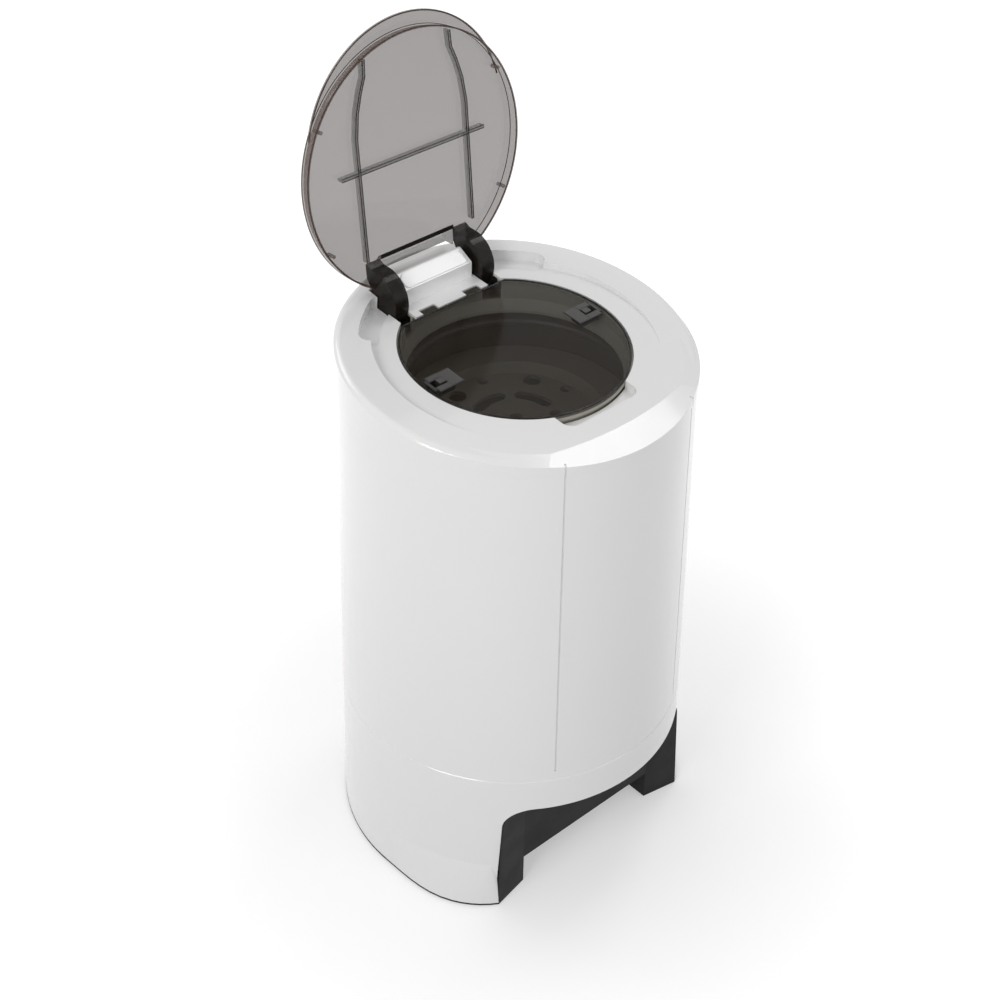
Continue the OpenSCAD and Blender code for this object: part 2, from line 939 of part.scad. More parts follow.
module motor_plate() {
  seat_z = plate_z - bearing_h;
  color(steel)
    difference() {
      union() {
        translate([0, 0, plate_z]) cylinder(h = plate_t, r = plate_r);
        translate([0, 0, seat_z]) cylinder(h = bearing_h + 1, r = bearing_d / 2 + seat_t);
      }
      translate([0, 0, seat_z - 1]) cylinder(h = bearing_h + 1, r = bearing_d / 2);
      translate([0, 0, seat_z - 1]) cylinder(h = bearing_h + plate_t + 2, r = shaft_d / 2 + 4);
      for (a = mount_at)
        rotate([0, 0, a])
          translate([mount_r, 0, plate_z - 1]) cylinder(h = plate_t + 2, r = screw_r + run_gap);
    }
}

module mount_buffers() {
  color(rubber)
    for (a = mount_at)
      rotate([0, 0, a])
        translate([mount_r, 0, plate_z - buffer_h])
          difference() {
            cylinder(h = buffer_h, r = buffer_r);
            translate([0, 0, -1]) cylinder(h = buffer_h + 2, r = screw_r + run_gap);
          }
}

module motor_housing() {
  color(dark_steel) ring(motor_r - can_t, motor_r, motor_z + cap_t, plate_z);
}

module motor_cap() {
  color(dark_steel)
    difference() {
      union() {
        translate([0, 0, motor_z]) cylinder(h = cap_t, r = motor_r);
        translate([0, 0, motor_z]) cylinder(h = cap_t + bearing_h, r = bearing_d / 2 + seat_t);
      }
      translate([0, 0, motor_z + cap_t]) cylinder(h = bearing_h + 1, r = bearing_d / 2);
      translate([0, 0, motor_z + cap_t - 3]) cylinder(h = bearing_h, r = shaft_d / 2 + 2);
    }
}

module stator() {
  color(steel) ring(stator_r, motor_r - can_t, stator_z, stator_z + stator_h);
}

module windings() {
  color("#9a5a32") {
    ring(stator_r + 5, motor_r - can_t - 5, stator_z - coil_h + 3, stator_z);
    ring(stator_r + 5, motor_r - can_t - 5, stator_z + stator_h, stator_z + stator_h + coil_h - 3);
  }
}

module bearing(z) {
  ring(shaft_d / 2, bearing_d / 2, z, z + bearing_h);
}

module tub_bearing() {
  color(steel) bearing(tub_z - hub_h);
}

module motor_bearings() {
  color(steel) {
    bearing(motor_z + cap_t);
    bearing(plate_z - bearing_h);
  }
}

module shaft_seal() {
  color(rubber) ring(shaft_d / 2 + run_gap, bearing_d / 2, tub_z - 4, tub_z + tub_floor_t + 2);
}

module capacitor() {
  color("#c9c7bf") translate([-cap_at, 0, deck_top]) cylinder(h = cap_h, r = cap_r);
}

module capacitor_clip() {
  color(steel)
    translate([-cap_at, 0, deck_top]) {
      ring(cap_r, cap_r + clip_t, cap_h / 3, cap_h / 3 + clip_w);
      translate([cap_r + clip_t - 0.5, -clip_w / 2, 0]) cube([clip_t, clip_w, cap_h / 3 + clip_w / 2]);
      translate([cap_r + clip_t - 0.5, -clip_w / 2, 0]) cube([clip_w, clip_w, clip_t]);
    }
}

module terminal_block() {
  color("#e6e2d4")
    translate([cap_at - 15, -10, deck_top])
      difference() {
        cube([30, 20, 16]);
        for (i = [0:3])
          translate([4.5 + 7 * i, 10, 8]) cylinder(h = 10, r = 2.2);
      }
}

module lid_switch() {
  color(base_grey)
    rod_frame()
      translate([rod_rad, plunger_off, switch_top - switch_h])
        difference() {
          translate([tub_r + tub_t + fit_gap + 0.1 - rod_rad, -switch_w / 2, 0])
            cube([rod_rad - tub_r - tub_t + guide_out, switch_w, switch_h]);
          translate([0, 0, 4]) cylinder(h = switch_h, r = plunger_r + run_gap);
        }
}

module rod_guides() {
  color(base_grey)
    rod_frame()
      for (z = [guide_low_z, guide_high_z])
        translate([0, 0, z])
          difference() {
            translate([tub_r + tub_t + fit_gap, -guide_w / 2, 0])
              cube([rod_rad - tub_r - tub_t + guide_out, guide_w, guide_h]);
            translate([rod_rad, 0, -1]) cylinder(h = guide_h + 2, r = rod_r + run_gap);
          }
}

module lever_pivot() {
  rod_frame()
    translate([lever_rad, 0, lever_z])
      rotate([90, 0, 0])
        children();
}

module lever_bracket() {
  ear = 3;
  inner = lever_t / 2 + 1.5;
  color(steel) {
    rod_frame()
      for (y = [-inner - ear, inner])
        translate([lever_rad - lever_hub_r, y, plate_z + plate_t])
          cube([2 * lever_hub_r, ear, lever_z - plate_z - plate_t + 5]);
    lever_pivot() translate([0, 0, -inner - ear]) cylinder(h = 2 * (inner + ear), r = lever_pin_r);
  }
}

module cross_screw(z) {
  translate([0, 0, z - screw_l]) cylinder(h = screw_l, r = screw_r);
  translate([0, 0, z])
    difference() {
      cylinder(h = screw_head_h, r = screw_head_r);
      translate([-0.5, -2.5, 1.6]) cube([1, 5, 3]);
      translate([-2.5, -0.5, 1.6]) cube([5, 1, 3]);
    }
}

module up_screw(z) {
  translate([0, 0, z]) mirror([0, 0, 1]) cross_screw(0);
}

module seam_screws() {
  color(steel) seam_boss(0, body_r(seam_h)) up_screw(seam_h - boss_h);
}

module cover_screws() {
  color(steel) cover_boss(0) up_screw(joint_h - boss_h);
}

module tub_screws() {
  color(steel)
    for (a = post_at)
      rotate([0, 0, a]) translate([post_rad, 0, 0]) cross_screw(tub_z + lug_t);
}

module plate_screws() {
  color(steel)
    for (a = mount_at)
      rotate([0, 0, a])
        translate([mount_r, 0, plate_z + plate_t]) {
          cylinder(h = screw_head_h, r = screw_head_r);
          translate([0, 0, -plate_t - buffer_h + 1]) cylinder(h = plate_t + buffer_h, r = screw_r);
        }
}

module drum_shell() {
  wall_top = drum_top_z - rim_t;
  color(steel)
    difference() {
      translate([0, 0, drum_floor_z]) cylinder(h = wall_top - drum_floor_z, r = drum_out);
      translate([0, 0, drum_floor_z + drum_t]) cylinder(h = wall_top, r = drum_r);
      translate([0, 0, drum_floor_z - 1]) cylinder(h = 4, r = shaft_d / 2);
      for (i = [0:hole_rows - 1])
        for (a = [0:360 / drum_holes:359])
          rotate([0, 0, a])
            translate([drum_r - 3, 0, drum_floor_z + 26 + hole_pitch * i])
              rotate([0, 90, 0]) cylinder(h = 8, r = hole_r, $fn = 24);
    }
}

module drum_ribs() {
  color(base_grey)
    intersection() {
      for (i = [0:rib_n - 1])
        rotate([0, 0, 30 + 360 / rib_n * i])
          translate([drum_r, 0, drum_floor_z + drum_t])
            cylinder(h = disc_z - disc_t - drum_floor_z - drum_t, r = 9);
      cylinder(h = big * 2, r = drum_r);
    }
}

module drum_rim() {
  color("#6d6c66")
    rotate_extrude()
      union() {
        translate([drum_mouth_r + rim_t / 2, drum_top_z - rim_t])
          square([drum_out - drum_mouth_r - rim_t / 2 + 1, rim_t]);
        translate([drum_mouth_r + rim_t / 2, drum_top_z - rim_t / 2]) circle(r = rim_t / 2);
      }
}

module drum_hub() {
  color(steel)
    translate([0, 0, drum_floor_z - hub_boss_h])
      difference() {
        union() {
          cylinder(h = hub_boss_h, r = hub_boss_r);
          translate([0, 0, hub_boss_h - 4]) cylinder(h = 4, r = hub_disc_r);
        }
        translate([0, 0, -1]) cylinder(h = hub_boss_h + 2, r = shaft_d / 2);
      }
}

module drive_shaft() {
  color(steel)
    translate([0, 0, motor_z + cap_t - 1])
      cylinder(h = drum_floor_z + drum_t + nut_h + 3 - motor_z - cap_t + 1, r = shaft_d / 2);
}

module rotor() {
  color(dark_steel) ring(shaft_d / 2, stator_r - air_gap, stator_z, stator_z + stator_h);
}

module shaft_nut() {
  color(steel)
    translate([0, 0, drum_floor_z + drum_t])
      difference() {
        cylinder(h = nut_h, r = nut_r, $fn = 6);
        translate([0, 0, -1]) cylinder(h = nut_h + 2, r = shaft_d / 2);
      }
}

module brake_drum() {
  color(dark_steel) ring(shaft_d / 2, brake_r, brake_z, brake_z + brake_h);
}

// Bent slot of the pressing disc: an arc of radius r and width w over the angle a
module kidney(r, w, a) {
  h = w / 2;
  arc = a / 8;
  translate([0, 0, -20])
    linear_extrude(height = 40)
      polygon([
        for (t = [0:arc:a]) [(r + h) * cos(t), (r + h) * sin(t)],
        for (t = [20:20:160]) [r * cos(a) + h * cos(a + t), r * sin(a) + h * sin(a + t)],
        for (t = [a:-arc:0]) [(r - h) * cos(t), (r - h) * sin(t)],
        for (t = [200:20:340]) [r + h * cos(t), h * sin(t)]
      ]);
}

module pressing_disc() {
  r = drum_r - disc_gap;
  slope = disc_drop;
  color("#5d594f")
    difference() {
      translate([0, 0, disc_z])
        rotate_extrude()
          polygon([
            [0, -disc_drop - disc_t], [disc_step_r - slope, -disc_drop - disc_t], [disc_step_r, -disc_t],
            [r, -disc_t], [r, 0], [disc_step_r, 0], [disc_step_r - slope, -disc_drop], [0, -disc_drop]
          ]);
      translate([0, 0, disc_z - disc_drop]) {
        for (i = [0:4])
          rotate([0, 0, 1 + 72 * i]) kidney(42, 14, 40);
        for (i = [0:4])
          rotate([0, 0, 34 + 72 * i]) translate([72, 0, -20]) cylinder(h = 40, r = 9.5);
        for (i = [0:4])
          rotate([0, 0, 4 + 72 * i]) translate([74.5, 0, -20]) cylinder(h = 40, r = 5.5);
        translate([0, 0, -20]) cylinder(h = 40, r = 8);
      }
    }
}

// Tabs on the straight edge of the inner lid, wider by d
module lid_tabs(d, z0, z1) {
  sides()
    translate([tab_from - d, ledge_y - mouth_y - inner_gap - 1, z0])
      cube([tab_to - tab_from + 2 * d, 1 + tab_out + d, z1 - z0]);
}

// Frame of the inner lid, in the seat plane at the mouth centre
module latch_frame() {
  seat_frame()
    translate([0, mouth_y, -lid_sink])
      children();
}

module inner_lid() {
  color("#6f6e69")
    latch_frame()
      difference() {
        union() {
          difference() {
            translate([0, 0, -inner_t]) cylinder(h = inner_t, r = inner_r);
            translate([-big / 2, ledge_y - mouth_y - inner_gap, -20]) cube([big, big, 40]);
          }
          lid_tabs(0, -inner_t, 0);
        }
        sides()
          translate([latch_x - thumb_half - slide_gap, -thumb_half - slide_gap, -20])
            cube([latch_travel + 2 * thumb_half + 2 * slide_gap, 2 * thumb_half + 2 * slide_gap, 40]);
      }
}

module latch_guides() {
  color(rubber)
    latch_frame()
      sides()
        difference() {
          translate([latch_x - latch_frame_l / 2, -latch_frame_w / 2, -inner_t - latch_frame_h])
            cube([latch_frame_l, latch_frame_w, latch_frame_h]);
          translate([0, -bolt_w / 2 - slide_gap, -bolt_in - bolt_t - slide_gap])
            cube([big, bolt_w + 2 * slide_gap, bolt_t + 2 * slide_gap]);
          translate([latch_x - thumb_half - slide_gap, -thumb_half - slide_gap, -bolt_in - 1])
            cube([latch_travel + 2 * thumb_half + 2 * slide_gap, 2 * thumb_half + 2 * slide_gap, 20]);
        }
}

module latch_bolt() {
  tip = mouth_r - shelf_w - 0.8;
  color(rubber)
    latch_frame() {
      translate([latch_x - latch_frame_l / 2 + 2, -bolt_w / 2, -bolt_in - bolt_t])
        cube([tip - latch_x + latch_frame_l / 2 - 2, bolt_w, bolt_t]);
      translate([latch_x - thumb_half, -thumb_half, -bolt_in - bolt_t])
        cube([2 * thumb_half, 2 * thumb_half, bolt_in + bolt_t + thumb_h]);
    }
}

module latch_right() {
  latch_bolt();
}

module latch_left() {
  mirror([1, 0, 0]) latch_bolt();
}

module lid_round() {
  edge = 3;
  wall = 2.5;
  deep = lid_t + lid_wall_h;
  rotate_extrude($fn = 160)
    difference() {
      union() {
        translate([0, -lid_t]) square([lid_r - edge, lid_t]);
        translate([lid_r - edge, -edge]) circle(r = edge, $fn = 48);
        translate([lid_r - wall, -deep]) square([wall, deep - edge]);
      }
      translate([lid_r - wall - 20, -lid_t - 20]) square([20, 20]);
    }
}

module outer_lid() {
  color(smoke)
    lid_frame()
      difference() {
        union() {
          translate([0, -lid_reach, lid_rise]) {
            lid_round();
            translate([0, -(lid_r - lip_r) - lip_out, -lid_t]) cylinder(h = lid_t, r = lip_r, $fn = 160);
          }
        }
        translate([-arm_x - arm_w - 0.2, -lid_notch_y, -30]) cube([2 * (arm_x + arm_w + 0.2), 60, 60]);
      }
}

module lid_rib() {
  half = rib_t / 2;
  n = len(rib_line);
  translate([rib_x, -lid_reach, lid_rise - lid_t - rib_d])
    linear_extrude(height = rib_d)
      polygon([
        for (p = rib_line) [p[0] - half, p[1]],
        for (i = [n - 1:-1:0]) [rib_line[i][0] + half, rib_line[i][1]]
      ]);
}

module lid_ribs() {
  color(smoke)
    lid_frame() {
      sides() lid_rib();
      translate([-cross_half, -lid_reach - cross_y, lid_rise - lid_t - rib_d])
        cube([2 * cross_half, cross_t, rib_d]);
    }
}

// Hood in front of the hinge block when the lid is closed
module hood_plan(profile, x, w) {
  translate([x, 0, lid_rise])
    rotate([90, 0, 90])
      linear_extrude(height = w) polygon(profile);
}

module lid_hood() {
  color(smoke)
    lid_frame() {
      hood_plan(concat(hood_outer, hood_inner), -arm_x, 2 * arm_x);
      sides() hood_plan(concat(hood_outer, [[hood_inner[0][0], 0]]), arm_x - hood_t, hood_t);
    }
}

// Cam over the brake rod, where the lid has turned by t from open
function rod_depth(t) = rod_h0 + rod_travel * max(0, min(1, t / lid_travel));
function cam_r(t) = sqrt(rod_in * rod_in + rod_depth(t) * rod_depth(t)) - fit_gap;
function cam_a(t) = -atan2(rod_depth(t), rod_in) - t + lid_open;

// Gooseneck of a hinge arm, from the lid panel to the hub
module arm_plan() {
  polygon([
    [-arm_top_y, lid_rise], [-arm_neck_y, lid_rise],
    for (p = arm_bend) p,
    for (a = [300:-6:180]) [arm_r * cos(a) - arm_back, arm_r * sin(a)],
    [-arm_r - arm_back - arm_foot[0], arm_foot[1]], [-arm_top_y, lid_rise - lid_t]
  ]);
}

// Cam that presses the brake rod down as the lid closes
module cam_plan() {
  polygon([
    [-cam_root, 0],
    for (i = [0:cam_steps])
      let (t = (lid_travel + 2 * cam_over) * i / cam_steps - cam_over)
        [cam_r(t) * cos(cam_a(t)), cam_r(t) * sin(cam_a(t))]
  ]);
}

module hinge_arm() {
  color(smoke)
    lid_frame()
      difference() {
        translate([arm_x, 0, 0])
          rotate([90, 0, 90])
            union() {
              linear_extrude(height = arm_w) arm_plan();
              linear_extrude(height = arm_w) cam_plan();
              cylinder(h = arm_w, r = arm_hub_r);
            }
        translate([arm_x - 4, 0, 0])
          rotate([0, 90, 0]) cylinder(h = arm_w + 2.4, r = hinge_shaft_d / 2 + run_gap);
      }
}

module arm_right() {
  hinge_arm();
}

module arm_left() {
  mirror([1, 0, 0]) hinge_arm();
}

module lid_bumpers() {
  color(rubber)
    lid_frame()
      translate([0, -lid_reach, lid_rise - lid_t - lid_wall_h - bumper_drop])
        for (a = bumper_at)
          rotate([0, 0, a])
            translate([lid_r - bumper_in, 0, 0]) cylinder(h = lid_wall_h + bumper_drop, r = bumper_r);
}

module brake_rod() {
  low = lever_z + lever_t / 2 + fit_gap;
  tip = hinge_z - rod_h0 - fit_gap;
  color(steel)
    rod_frame() {
      translate([rod_rad, 0, low]) cylinder(h = tip - low, r = rod_r);
      translate([rod_rad - rod_r, 0, tab_z]) cube([2 * rod_r, plunger_off + rod_r, tab_t]);
    }
}

module brake_lever() {
  half = lever_t / 2;
  inner = brake_r + 8 + fit_gap;
  color(steel)
    difference() {
      lever_pivot()
        translate([0, 0, -half])
          union() {
            cylinder(h = lever_t, r = lever_hub_r);
            linear_extrude(height = lever_t)
              polygon([
                [0, -half], [rod_rad - lever_rad + 5, -half], [rod_rad - lever_rad + 5, half], [0, half]
              ]);
            linear_extrude(height = lever_t)
              polygon([
                [0, 0], [inner + 6 - lever_rad, half], [inner + 6 - lever_rad, 30],
                [inner - lever_rad, 30], [inner - lever_rad, -2], [0, -lever_hub_r]
              ]);
          }
      lever_pivot() cylinder(h = 60, r = lever_pin_r + run_gap, center = true);
    }
}

module brake_pad() {
  color(rubber)
    rod_frame()
      difference() {
        translate([brake_r - 4, -10, brake_z + 5]) cube([12 + fit_gap, 20, 14]);
        translate([0, 0, brake_z]) cylinder(h = 40, r = brake_r + fit_gap);
      }
}

module brake_spring() {
  color(dark_steel)
    lever_pivot() {
      translate([0, 0, lever_t / 2]) ring(lever_pin_r + run_gap, lever_pin_r + 2, 0, 1.2);
      translate([0, 0, -lever_t / 2 - 1.2]) ring(lever_pin_r + run_gap, lever_pin_r + 2, 0, 1.2);
    }
}

module switch_plunger() {
  top = tab_z - fit_gap;
  color("#9c2b22")
    rod_frame()
      translate([rod_rad, plunger_off, switch_top - plunger_in])
        cylinder(h = top - switch_top + plunger_in, r = plunger_r);
}

base_skirt();
base_frame();
foot_pads();
casing();
top_cover();
hinge_block();
hinge_shaft();
mouth_ring();
outer_tub();
tub_gasket();
tub_posts();
drain_spout();
motor_plate();
mount_buffers();
motor_housing();
motor_cap();
stator();
windings();
tub_bearing();
motor_bearings();
shaft_seal();
capacitor();
capacitor_clip();
terminal_block();
lid_switch();
rod_guides();
lever_bracket();
cord_gland();
seam_screws();
cover_screws();
tub_screws();
plate_screws();
drum_shell();
drum_ribs();
drum_rim();
drum_hub();
drive_shaft();
rotor();
shaft_nut();
brake_drum();
pressing_disc();
inner_lid();
latch_guides();
latch_left();
latch_right();
outer_lid();
lid_ribs();
lid_hood();
arm_left();
arm_right();
lid_bumpers();
brake_rod();
brake_lever();
brake_pad();
brake_spring();
switch_plunger();
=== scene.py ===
"""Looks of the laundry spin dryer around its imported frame.

The frame is in metres, with +Z up and -Y the front. Places on the lids and the hinge block are in
millimetres, in the plane of the part that carries them.
"""

import json
import math

import bmesh
import bpy
from mathutils import Matrix, Vector


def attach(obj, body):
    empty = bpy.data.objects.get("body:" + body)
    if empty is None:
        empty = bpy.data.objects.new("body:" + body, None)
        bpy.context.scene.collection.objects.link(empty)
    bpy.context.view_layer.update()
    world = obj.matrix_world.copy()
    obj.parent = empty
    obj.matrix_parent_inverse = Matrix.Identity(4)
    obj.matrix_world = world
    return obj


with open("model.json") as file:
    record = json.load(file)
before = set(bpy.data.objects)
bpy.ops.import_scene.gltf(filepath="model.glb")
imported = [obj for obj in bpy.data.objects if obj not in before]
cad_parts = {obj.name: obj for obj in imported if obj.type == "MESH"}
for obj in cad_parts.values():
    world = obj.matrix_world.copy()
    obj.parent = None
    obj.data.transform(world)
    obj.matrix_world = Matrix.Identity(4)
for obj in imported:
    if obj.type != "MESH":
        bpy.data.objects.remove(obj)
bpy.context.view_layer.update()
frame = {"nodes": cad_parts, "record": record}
nodes = frame["nodes"]
scene = bpy.context.scene
scene.view_settings.view_transform = "Standard"


# ---------------------------------------------------------------- camera
def make_camera():
    """Camera at the photograph's angle. Azimuth 0 looks along +Y, and a minus sign is to the left."""
    azimuth, elevation, roll = math.radians(-42.4), 0.6602, 0.0148
    distance, focal_px, image_px, sensor_mm = 1.968, 1836.95, 1000, 36
    target = Vector((-0.0042, 0.0180, 0.4109))
    back = Vector((
        math.sin(azimuth) * math.cos(elevation),
        -math.cos(azimuth) * math.cos(elevation),
        math.sin(elevation),
    ))
    right = Vector((math.cos(azimuth), math.sin(azimuth), 0))
    up = back.cross(right)
    side = right * math.cos(roll) + up * math.sin(roll)
    top = up * math.cos(roll) - right * math.sin(roll)
    data = bpy.data.cameras.new("camera")
    data.sensor_width = sensor_mm
    data.lens = focal_px / image_px * sensor_mm
    data.clip_start, data.clip_end = 0.05, 50
    cam = bpy.data.objects.new("camera", data)
    scene.collection.objects.link(cam)
    turn = Matrix((side, top, back)).transposed().to_4x4()
    cam.matrix_world = Matrix.Translation(target + back * distance) @ turn
    scene.camera = cam


make_camera()


# ---------------------------------------------------------------- materials
def new_material(name):
    m = bpy.data.materials.new(name)
    m.use_nodes = True
    tree = m.node_tree
    shader = tree.nodes["Principled BSDF"]
    return m, tree, shader


def noise(tree, scale, detail=2.0):
    coord = tree.nodes.new("ShaderNodeTexCoord")
    n = tree.nodes.new("ShaderNodeTexNoise")
    n.inputs["Scale"].default_value = scale
    n.inputs["Detail"].default_value = detail
    n.inputs["Roughness"].default_value = 0.5
    tree.links.new(coord.outputs["Object"], n.inputs["Vector"])
    return n.outputs["Fac"]


def spread(tree, source, low, high):
    """Maps the middle of a noise onto low to high."""
    r = tree.nodes.new("ShaderNodeMapRange")
    r.inputs["From Min"].default_value = 0.3
    r.inputs["From Max"].default_value = 0.7
    r.inputs["To Min"].default_value = low
    r.inputs["To Max"].default_value = high
    tree.links.new(source, r.inputs["Value"])
    return r.outputs["Result"]


def shades(color, vary):
    """The colour a little darker and a little lighter."""
    dark = tuple(max(0.0, c * (1 - vary)) for c in color)
    light = tuple(min(1.0, c * (1 + vary)) for c in color)
    return dark, light


def tint(tree, shader, source, dark, light):
    mix = tree.nodes.new("ShaderNodeMix")
    mix.data_type = "RGBA"
    mix.inputs["A"].default_value = (*dark, 1)
    mix.inputs["B"].default_value = (*light, 1)
    tree.links.new(source, mix.inputs["Factor"])
    tree.links.new(mix.outputs["Result"], shader.inputs["Base Color"])


def bump(tree, shader, source, strength, depth):
    b = tree.nodes.new("ShaderNodeBump")
    b.inputs["Strength"].default_value = strength
    b.inputs["Distance"].default_value = depth
    tree.links.new(source, b.inputs["Height"])
    tree.links.new(b.outputs["Normal"], shader.inputs["Normal"])


def moulded(name, color, rough, grain=900.0, grain_depth=0.00005, vary=0.02, rough_vary=0.04,
            coat=0.0, metal=0.0, strength=0.3, shine=0.5):
    """Moulded or cast surface: faint cloud in the colour, fine grain, uneven gloss."""
    m, tree, shader = new_material(name)
    tint(tree, shader, noise(tree, 9.0, 3.0), *shades(color, vary))
    gloss = spread(tree, noise(tree, 40.0), rough - rough_vary, rough + rough_vary)
    tree.links.new(gloss, shader.inputs["Roughness"])
    bump(tree, shader, noise(tree, grain), strength, grain_depth)
    shader.inputs["Metallic"].default_value = metal
    shader.inputs["Specular IOR Level"].default_value = shine
    shader.inputs["Coat Weight"].default_value = coat
    shader.inputs["Coat Roughness"].default_value = 0.08
    return m


def smoked(name, color, alpha, rough=0.07, shine=0.5):
    """Clear smoked plastic, seen straight through without bending."""
    m, tree, shader = new_material(name)
    tint(tree, shader, noise(tree, 6.0), *shades(color, 0.06))
    shader.inputs["Roughness"].default_value = rough
    shader.inputs["Alpha"].default_value = alpha
    shader.inputs["Specular IOR Level"].default_value = shine
    shader.inputs["IOR"].default_value = 1.5
    bump(tree, shader, noise(tree, 25.0, 1.0), 0.05, 0.0002)
    return m


GLOSSY_SHELL = dict(grain=700.0, grain_depth=0.00002, vary=0.006, rough_vary=0.03, coat=0.5, strength=0.06)
FINE_GRAIN = dict(grain=1200.0, vary=0.05)

WHITE = moulded("white_shell", (0.82, 0.815, 0.81), rough=0.2, **GLOSSY_SHELL)
# Painted light: the hinge block and its panel are painted lighter than the white shell, for the light that
# falls on the block's upturned face.
BLOCK_PAINTED_LIGHT = moulded("hinge_block", (0.93, 0.925, 0.92), rough=0.25, **GLOSSY_SHELL)
BASE = moulded("base_plastic", (0.0155, 0.0155, 0.016), rough=0.6, grain=1500.0, grain_depth=0.00008,
               vary=0.06, rough_vary=0.05, shine=0.2)
TUB = moulded("tub_plastic", (0.10, 0.096, 0.085), rough=0.4, grain_depth=0.00006, **FINE_GRAIN)
NECK = moulded("neck_plastic", (0.42, 0.41, 0.35), rough=0.35, grain=1200.0, vary=0.04)
BLACK = moulded("black_plastic", (0.022, 0.022, 0.022), rough=0.35, **FINE_GRAIN)
RIM = moulded("rim_plastic", (0.06, 0.055, 0.05), rough=0.4, **FINE_GRAIN)
# Painted highlight: the latch teeth and thumb grips are painted lighter than the black plastic, for the
# glints on their ridges.
RIDGE_HIGHLIGHT = moulded("latch_teeth", (0.11, 0.106, 0.1), rough=0.4, **FINE_GRAIN)
CAN = moulded("can_white", (0.6, 0.59, 0.55), rough=0.5, vary=0.04)
RED = moulded("red_plastic", (0.35, 0.03, 0.02), rough=0.4, vary=0.04)
RUBBER = moulded("rubber", (0.025, 0.025, 0.027), rough=0.65, grain=1600.0, grain_depth=0.0001, vary=0.08)
MAT = moulded("press_mat", (0.20, 0.18, 0.145), rough=0.55, grain_depth=0.0001, vary=0.08)
STEEL = moulded("steel", (0.55, 0.55, 0.55), rough=0.3, grain=400.0, grain_depth=0.00004,
                vary=0.05, metal=1.0)
# Painted shade: the drum is painted near black, for the shade deep inside it.
DRUM_PAINTED_SHADE = moulded("drum_metal", (0.075, 0.062, 0.055), rough=0.45, grain=300.0, grain_depth=0.00002,
               vary=0.05, metal=0.3, strength=0.08)
DARK_METAL = moulded("dark_metal", (0.09, 0.09, 0.10), rough=0.4, grain_depth=0.00006, vary=0.06)
COPPER = moulded("winding", (0.35, 0.13, 0.05), rough=0.35, grain=300.0, grain_depth=0.0002,
                 vary=0.1, metal=0.5)
SMOKE = smoked("smoked_plastic", (0.115, 0.068, 0.05), alpha=0.49, shine=0.35)
SMOKE_INNER = smoked("smoked_inner", (0.03, 0.024, 0.018), alpha=0.34, shine=0.22)
SMOKE_ARM = smoked("smoked_arm", (0.012, 0.009, 0.007), alpha=0.88, rough=0.2, shine=0.18)
SMOKE_RIB = smoked("smoked_rib", (0.05, 0.035, 0.025), alpha=0.35, shine=0.3)
# Painted shade: near-black beads and bands along the edges of the smoked lids, ribs and hood panel, where
# the clear plastic looks dark.
EDGE_SHADE = smoked("painted_edge_shade", (0.012, 0.01, 0.009), alpha=0.9, rough=0.2, shine=0.3)
SMOKE_HOOD = smoked("smoked_hood", (0.09, 0.055, 0.038), alpha=0.56, shine=0.35)

# Look of each material slot of the record, and the nodes that differ from their slot
LOOKS = {
    "white_shell": WHITE, "base_plastic": BASE, "tub_plastic": TUB, "smoked_plastic": SMOKE,
    "black_plastic": BLACK, "rubber": RUBBER, "press_mat": MAT, "steel": STEEL, "drum_metal": DRUM_PAINTED_SHADE,
    "dark_metal": DARK_METAL, "rim_plastic": RIM, "winding": COPPER, "can_white": CAN, "red_plastic": RED,
}
SPECIAL = {
    "inner_lid": SMOKE_INNER, "mouth_ring": NECK, "arm_left": SMOKE_ARM, "arm_right": SMOKE_ARM,
    "lid_ribs": SMOKE_RIB, "lid_hood": SMOKE_HOOD, "lid_bumpers": SMOKE, "hinge_block": BLOCK_PAINTED_LIGHT,
}


def dress_nodes():
    for part in frame["record"]["subparts"]:
        node = part["node"]
        look = SPECIAL.get(node, LOOKS[part["material_slot"]])
        for place in nodes[node].material_slots:
            place.material = look


dress_nodes()

# ---------------------------------------------------------------- places on the part, in millimetres
HINGE_Y, HINGE_Z = 138.8, 622.1  # hinge axis of the outer lid
LID_OPEN = math.radians(95)  # turn of the open lid up from level
LID_REACH = 137.1  # hinge axis to the middle of the outer lid
SEAT_TILT = math.radians(4.3)  # slope of the seat
SEAT_H = 613  # seat over the floor at the upright axis
MOUTH_Y = 3.3  # middle of the mouth, along the seat
LID_SINK = 0.4  # face of the inner lid below the seat


def in_lid(x, y, z):
    """Place in the frame of the open lid, from the middle of its hinge axis."""
    cos, sin = math.cos(LID_OPEN), math.sin(LID_OPEN)
    return Vector((x, HINGE_Y + y * cos + z * sin, HINGE_Z - y * sin + z * cos)) / 1000


def on_seat(x, y, z):
    """Place on the face of the inner lid, from the middle of the mouth."""
    cos, sin = math.cos(SEAT_TILT), math.sin(SEAT_TILT)
    y += MOUTH_Y
    z -= LID_SINK
    return Vector((x, y * cos - z * sin, SEAT_H + y * sin + z * cos)) / 1000


# ---------------------------------------------------------------- pieces added to the frame
def add_piece(name, verts, faces, look, body):
    mesh = bpy.data.meshes.new(name)
    mesh.from_pydata(verts, [], faces)
    mesh.materials.append(look)
    piece = bpy.data.objects.new(name, mesh)
    scene.collection.objects.link(piece)
    work = bmesh.new()
    work.from_mesh(mesh)
    bmesh.ops.recalc_face_normals(work, faces=work.faces)
    work.to_mesh(mesh)
    work.free()
    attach(piece, body)
    return piece


def ring_faces(first, count, step, closed=True):
    """Faces between a loop of count points from first and the next loop, step points on."""
    faces = []
    for k in range(count if closed else count - 1):
        a, b = first + k, first + (k + 1) % count
        faces.append((a, b, b + step, a + step))
    return faces


def arc(cx, cy, r, z, start, end, steps):
    angles = [start + (end - start) * i / steps for i in range(steps + 1)]
    return [(cx + r * math.cos(a), cy + r * math.sin(a), z) for a in angles]


